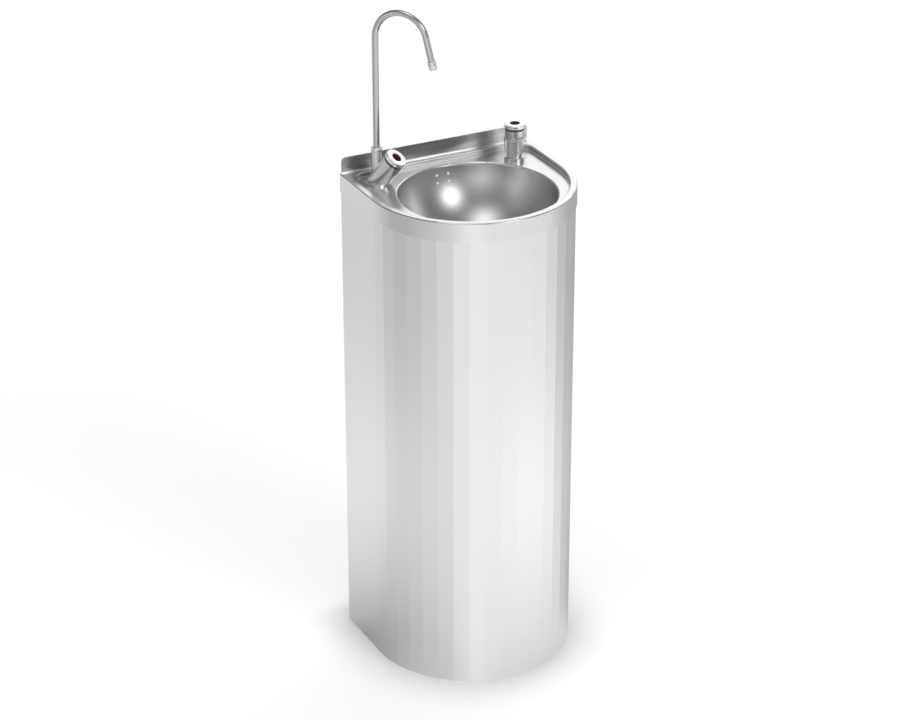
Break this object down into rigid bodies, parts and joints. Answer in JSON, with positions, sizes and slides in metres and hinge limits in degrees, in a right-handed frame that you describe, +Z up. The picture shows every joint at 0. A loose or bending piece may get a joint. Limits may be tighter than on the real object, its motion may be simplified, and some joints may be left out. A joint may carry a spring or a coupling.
{
  "type": "drinking fountain",
  "caption": "Floor-standing stainless steel drinking fountain for a wall: faceted D-shaped cabinet, recessed round bowl, push bubbler, and push bottle filler with a swan neck.",
  "frame": {"origin": "on the floor, at the middle of the footprint", "axes": "+Z up, +Y towards the wall behind, +X to the right as seen by the person who drinks"},
  "size_m": [0.36, 0.31, 1.174],
  "materials": {
    "pressed_steel": "satin, finely brushed",
    "bowl_steel": "satin",
    "cabinet_steel": "satin, fine grain",
    "screw_steel": "plain",
    "neck_steel": "polished",
    "chrome": "bright",
    "brass": "machined",
    "black_rubber": "matt",
    "white_plastic": "smooth",
    "grey_hose": "smooth",
    "clear_guard": "clear",
    "trim_ring": "dark",
    "index_dot": "dark red",
    "lever_paint": "red",
    "braided_hose": "steel braid"
  },
  "bodies": {
    "fountain": {"base_frame": "cabinet_steel", "bowl": "bowl_steel", "brace_screws": "screw_steel", "bubbler_body": "chrome", "bubbler_cartridge": "brass", "bubbler_gasket": "black_rubber", "bubbler_guard": "clear_guard", "bubbler_hose": "braided_hose", "bubbler_hose_nut": "brass", "bubbler_locknut": "brass", "bubbler_nozzle": "chrome", "bubbler_spring": "screw_steel", "bubbler_trim_ring": "trim_ring", "deck_top": "pressed_steel", "filler_body": "chrome", "filler_cartridge": "brass", "filler_gasket": "black_rubber", "filler_hose": "braided_hose", "filler_hose_nut": "brass", "filler_locknut": "brass", "filler_spring": "screw_steel", "filler_trim_ring": "trim_ring", "housing_shell": "cabinet_steel", "lower_brace": "cabinet_steel", "neck_collar_nut": "chrome", "neck_seal": "black_rubber", "overflow_collar": "white_plastic", "overflow_hose": "grey_hose", "overflow_seal": "black_rubber", "stop_valve_body": "brass", "strainer_screw": "screw_steel", "supply_tee": "brass", "tail_nut": "white_plastic", "tail_pipe": "white_plastic", "tee_side_nut": "brass", "tee_top_nut": "brass", "trap_body": "white_plastic", "trap_cup": "white_plastic", "trap_inlet_nut": "white_plastic", "trap_outlet_nut": "white_plastic", "upper_brace": "cabinet_steel", "waste_body": "white_plastic", "waste_gasket": "black_rubber", "waste_pipe": "white_plastic", "waste_strainer": "bowl_steel"},
    "bubbler_push": {"bubbler_button": "chrome", "bubbler_index_dot": "index_dot"},
    "filler_push": {"filler_button": "chrome", "filler_index_dot": "index_dot"},
    "spout": {"swan_neck": "neck_steel", "neck_outlet": "chrome"},
    "stop_lever": {"stop_valve_lever": "lever_paint"}
  },
  "joints": [
    {"name": "bubbler_press", "type": "slide", "parent": "fountain", "child": "bubbler_push", "axis": [0, 0, -1], "range_m": [0, 0.0035], "stiffness_N_per_m": 1500, "springref_m": -0.004, "deforming": ["bubbler_spring"]},
    {"name": "filler_press", "type": "slide", "parent": "fountain", "child": "filler_push", "axis": [-0.3699, 0.4568, -0.809], "range_m": [0, 0.0035], "stiffness_N_per_m": 1500, "springref_m": -0.004, "deforming": ["filler_spring"]},
    {"name": "neck_swivel", "type": "hinge", "parent": "fountain", "child": "spout", "pos_m": [-0.1315, 0.111, 0.92], "axis": [0, 0, 1], "range_deg": [-90, 60]},
    {"name": "stop_lever_turn", "type": "hinge", "parent": "fountain", "child": "stop_lever", "pos_m": [0.095, 0.094, 0.62], "axis": [0, 1, 0], "range_deg": [0, 90]}
  ]
}
